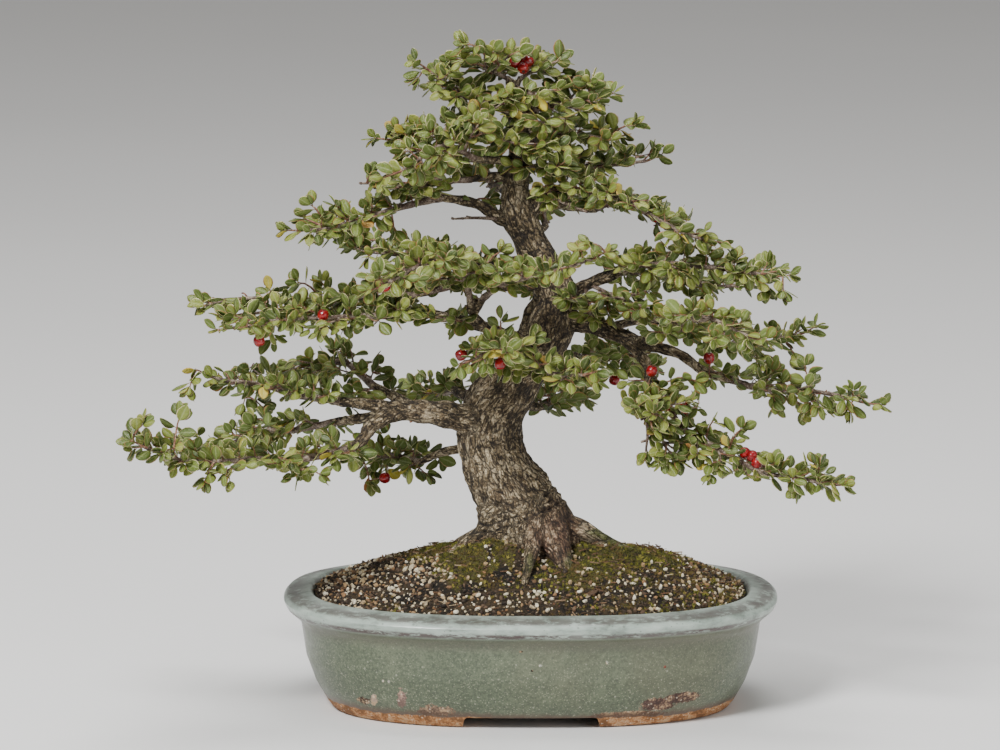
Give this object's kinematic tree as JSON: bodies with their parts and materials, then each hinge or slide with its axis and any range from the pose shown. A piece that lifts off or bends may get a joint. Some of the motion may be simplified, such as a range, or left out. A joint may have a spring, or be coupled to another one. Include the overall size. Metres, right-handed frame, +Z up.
{
  "type": "cotoneaster bonsai in a pot",
  "caption": "Small-leaved evergreen bonsai with a curved trunk, spreading surface roots, layered leafy branches and red berries, planted in an oval glazed pot.",
  "frame": {"origin": "middle of the whole plant's width and depth, on the surface that the pot stands on", "axes": "+X to the viewer's right along the pot's long side, +Y away from the viewer, +Z up"},
  "size_m": [0.4306, 0.2472, 0.3871],
  "materials": {
    "glaze": "gloss",
    "mesh": "matte",
    "soil": "matte",
    "bark": "matte",
    "foliage": "satin"
  },
  "bodies": {
    "root": {"drainage_mesh_left": "mesh", "drainage_mesh_right": "mesh", "pot": "glaze", "soil": "soil", "spray_apex_left": "foliage", "spray_apex_right": "foliage", "spray_back_high": "foliage", "spray_back_left": "foliage", "spray_back_low": "foliage", "spray_back_middle": "foliage", "spray_back_right": "foliage", "spray_back_top": "foliage", "spray_back_upper": "foliage", "spray_front_left": "foliage", "spray_front_low_left": "foliage", "spray_front_low_right": "foliage", "spray_front_middle": "foliage", "spray_left_fifth": "foliage", "spray_left_fourth": "foliage", "spray_left_fourth_front": "foliage", "spray_left_main": "foliage", "spray_left_main_back": "foliage", "spray_left_second": "foliage", "spray_left_sixth": "foliage", "spray_left_third": "foliage", "spray_left_third_back": "foliage", "spray_left_upper": "foliage", "spray_low_inner_left": "foliage", "spray_low_left_back": "foliage", "spray_low_left_droop": "foliage", "spray_right_droop": "foliage", "spray_right_fifth": "foliage", "spray_right_fourth": "foliage", "spray_right_low_front": "foliage", "spray_right_middle": "foliage", "spray_right_middle_front": "foliage", "spray_right_outer": "foliage", "spray_right_second": "foliage", "spray_right_second_back": "foliage", "spray_right_sixth": "foliage", "spray_right_third": "foliage", "spray_right_third_back": "foliage", "trunk": "bark"}
  },
  "joints": []
}
